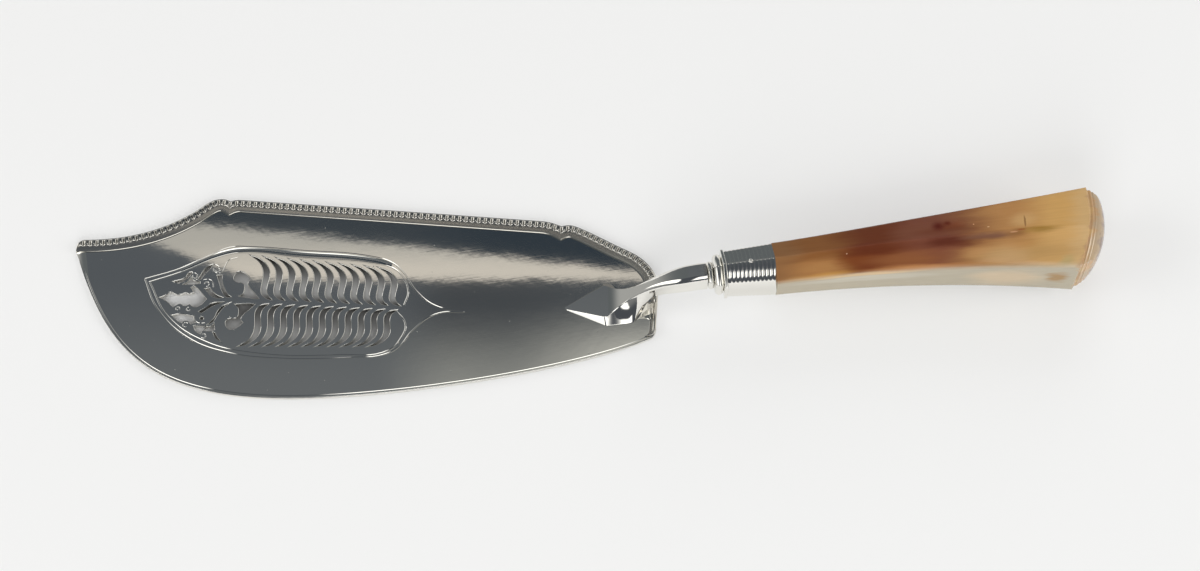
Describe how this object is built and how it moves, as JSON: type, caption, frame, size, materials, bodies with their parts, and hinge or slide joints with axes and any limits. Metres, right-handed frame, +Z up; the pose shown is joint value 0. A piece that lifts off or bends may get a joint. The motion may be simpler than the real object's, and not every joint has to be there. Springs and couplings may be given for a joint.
{
  "type": "fish slice",
  "caption": "Silver fish slice with a wide pierced and engraved blade, a gadrooned back edge, a cranked stem, a reeded six-sided ferrule and a flaring horn handle.",
  "frame": {"origin": "on the blade's flat underside, on its spine line, at the widest part of the spear palm", "axes": "+X along the blade's spine from tip to handle, +Y towards the gadrooned back edge, +Z up from the blade's upper face"},
  "size_m": [0.3189, 0.0751, 0.0228],
  "materials": {
    "blade_silver": "polished silver with fine wear scratches",
    "border_silver": "polished silver, darker in the hollows",
    "stem_silver": "polished silver",
    "fitting_silver": "polished silver, darker between the reeds",
    "tang_steel": "plain forged steel, hidden",
    "cement": "dark cutler's resin, hidden",
    "horn": "polished streaked horn"
  },
  "bodies": {
    "root": {"blade": "blade_silver", "border_tip": "border_silver", "border_back": "border_silver", "border_heel": "border_silver", "stem": "stem_silver", "collar_front_ring": "fitting_silver", "collar_rear_ring": "fitting_silver", "ferrule_plate": "fitting_silver", "ferrule": "fitting_silver", "ferrule_pin": "fitting_silver", "tang": "tang_steel", "resin_filling": "cement", "handle": "horn"}
  },
  "joints": []
}
